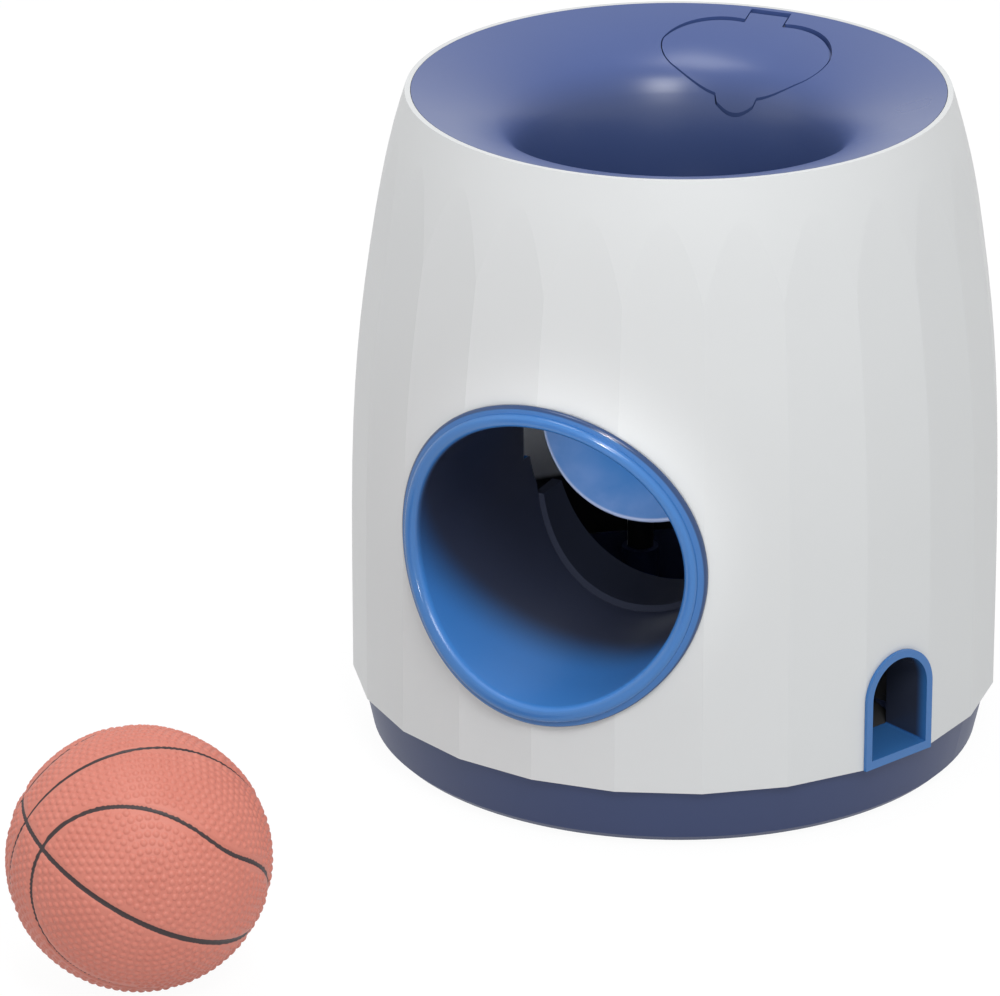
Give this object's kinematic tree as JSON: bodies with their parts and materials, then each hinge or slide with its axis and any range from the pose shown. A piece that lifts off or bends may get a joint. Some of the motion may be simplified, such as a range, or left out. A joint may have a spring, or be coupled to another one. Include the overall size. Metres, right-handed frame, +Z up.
{
  "type": "dog puzzle toy",
  "caption": "Faceted barrel treat dispenser for dogs: a ball dropped in the top funnel tips a paddle, rolls out of the front tube and releases treats at a side arch; loose ball included.",
  "frame": {"origin": "on the floor under the middle of the base, on the middle foot pad's lower face", "axes": "+Z up along the barrel's axis; the ball outlet faces -Y; the treat outlet is at 66.7 degrees from -Y towards +X; the lid is at +Y"},
  "size_m": [0.1719, 0.3108, 0.177],
  "materials": {
    "shell_white": "satin",
    "funnel_violet": "semi-gloss",
    "base_navy": "satin",
    "chute_blue": "gloss",
    "inner_navy": "satin",
    "works_black": "satin",
    "gear_white": "satin",
    "pad_rubber": "matte",
    "ball_rubber": "satin",
    "steel": "bright"
  },
  "bodies": {
    "housing": {"outer_shell": "shell_white", "base_pan": "base_navy", "rubber_feet": "pad_rubber", "base_screws": "steel", "top_funnel": "funnel_violet", "lid_hinge_pin": "steel", "ball_chute": "chute_blue", "chute_lock_ring": "inner_navy", "ball_cradle": "inner_navy", "cradle_screws": "steel", "treat_outlet_frame": "chute_blue", "treat_slide": "works_black", "slide_screws": "steel", "treat_hopper": "works_black", "hopper_screws": "steel", "left_cheek": "works_black", "right_cheek": "works_black", "cheek_screws": "steel", "trigger_bushes": "gear_white", "drum_bushes": "gear_white", "return_spring": "steel", "paddle_buffers": "pad_rubber"},
    "trigger": {"trigger_paddle": "chute_blue", "trigger_shaft": "steel", "trigger_shaft_clips": "steel", "trigger_gear": "gear_white"},
    "drum": {"metering_drum": "chute_blue", "drum_shaft": "steel", "drum_shaft_clips": "steel", "drum_gear": "gear_white"},
    "lid": {"fill_lid": "funnel_violet"},
    "ball": {"play_ball": "ball_rubber"}
  },
  "joints": [
    {"name": "trigger_swing", "type": "hinge", "parent": "housing", "child": "trigger", "pos_m": [0, 0.043, 0.112], "axis": [1, 0, 0], "range_deg": [0, 70], "stiffness_Nm_per_rad": 0.02, "springref_deg": -57.3},
    {"name": "drum_turn", "type": "hinge", "parent": "housing", "child": "drum", "pos_m": [0, 0.061, 0.112], "axis": [1, 0, 0], "range_deg": [-140, 0]},
    {"name": "lid_hinge", "type": "hinge", "parent": "housing", "child": "lid", "pos_m": [-0.00336, 0.06411, 0.1737], "axis": [-0.9986, -0.0523, 0], "range_deg": [0, 90]},
    {"name": "ball_roll", "type": "slide", "parent": "housing", "child": "ball", "axis": [0, -1, 0], "range_m": [0, 0.15]}
  ],
  "couplings": [
    {"joint": "drum_turn", "follows": "trigger_swing", "ratio": -2}
  ]
}
